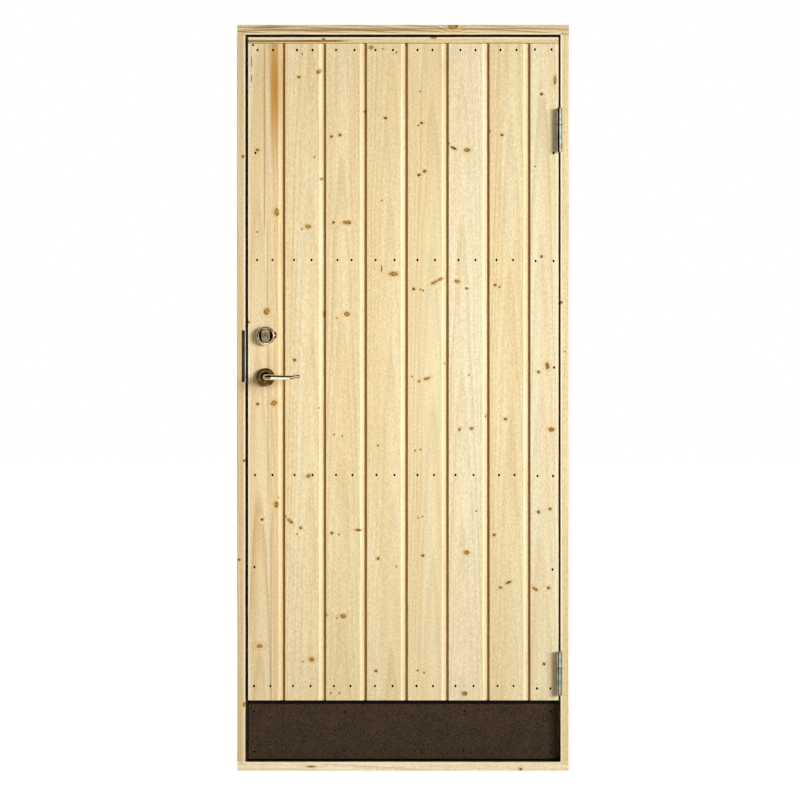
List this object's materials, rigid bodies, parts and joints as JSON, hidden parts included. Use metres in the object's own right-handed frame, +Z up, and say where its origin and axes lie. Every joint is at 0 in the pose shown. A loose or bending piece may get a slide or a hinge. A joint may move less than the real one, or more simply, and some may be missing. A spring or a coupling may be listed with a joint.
{
  "type": "shed door",
  "caption": "Outward-opening pine shed door in a rebated frame: upright bevelled tongue-and-groove boards, brown kick plate, lift-off hinges, lever handle and round cylinder lock.",
  "frame": {"origin": "centre of the sill's underside, at mid-depth of the frame", "axes": "+Z up, +X to the right seen from outside (towards the hinges), +Y into the building; the door opens towards -Y"},
  "size_m": [0.885, 0.1698, 1.99],
  "materials": {
    "frame_pine": "planed, bare",
    "board_pine": "planed, bare, knotty",
    "framing_pine": "planed, bare",
    "brown_sheet": "matt dark brown coating",
    "zinc_steel": "bright zinc plating",
    "nickel": "satin nickel plating",
    "dark_rose": "brushed, brown-toned"
  },
  "bodies": {
    "frame": {"head": "frame_pine", "sill": "frame_pine", "lock_jamb": "frame_pine", "hinge_jamb": "frame_pine", "strike_plate": "zinc_steel", "upper_hinge_frame_half": "zinc_steel", "lower_hinge_frame_half": "zinc_steel"},
    "leaf": {"lock_stile": "framing_pine", "hinge_stile": "framing_pine", "top_rail": "framing_pine", "upper_rail": "framing_pine", "lower_rail": "framing_pine", "bottom_rail": "framing_pine", "top_strip": "board_pine", "board_1": "board_pine", "board_2": "board_pine", "board_3": "board_pine", "board_4": "board_pine", "board_5": "board_pine", "board_6": "board_pine", "board_7": "board_pine", "board_8": "board_pine", "kick_plate": "brown_sheet", "upper_hinge_leaf_half": "zinc_steel", "lower_hinge_leaf_half": "zinc_steel", "lock_case": "zinc_steel", "latch_bolt": "zinc_steel", "dead_bolt": "zinc_steel", "cylinder_ring": "nickel", "lock_cylinder": "nickel", "outer_rose": "dark_rose", "inner_rose": "dark_rose", "turn_rose": "nickel", "thumb_turn": "nickel"},
    "lever_set": {"outer_lever": "nickel", "inner_lever": "nickel", "spindle": "zinc_steel"}
  },
  "joints": [
    {"name": "leaf_swing", "type": "hinge", "parent": "frame", "child": "leaf", "pos_m": [0.417, -0.054, 0.985], "axis": [0, 0, 1], "range_deg": [0, 170]},
    {"name": "lever_turn", "type": "hinge", "parent": "leaf", "child": "lever_set", "pos_m": [-0.366, -0.046, 1.05], "axis": [0, 1, 0], "range_deg": [0, 45], "stiffness_Nm_per_rad": 1.2, "springref_deg": -22.92}
  ]
}
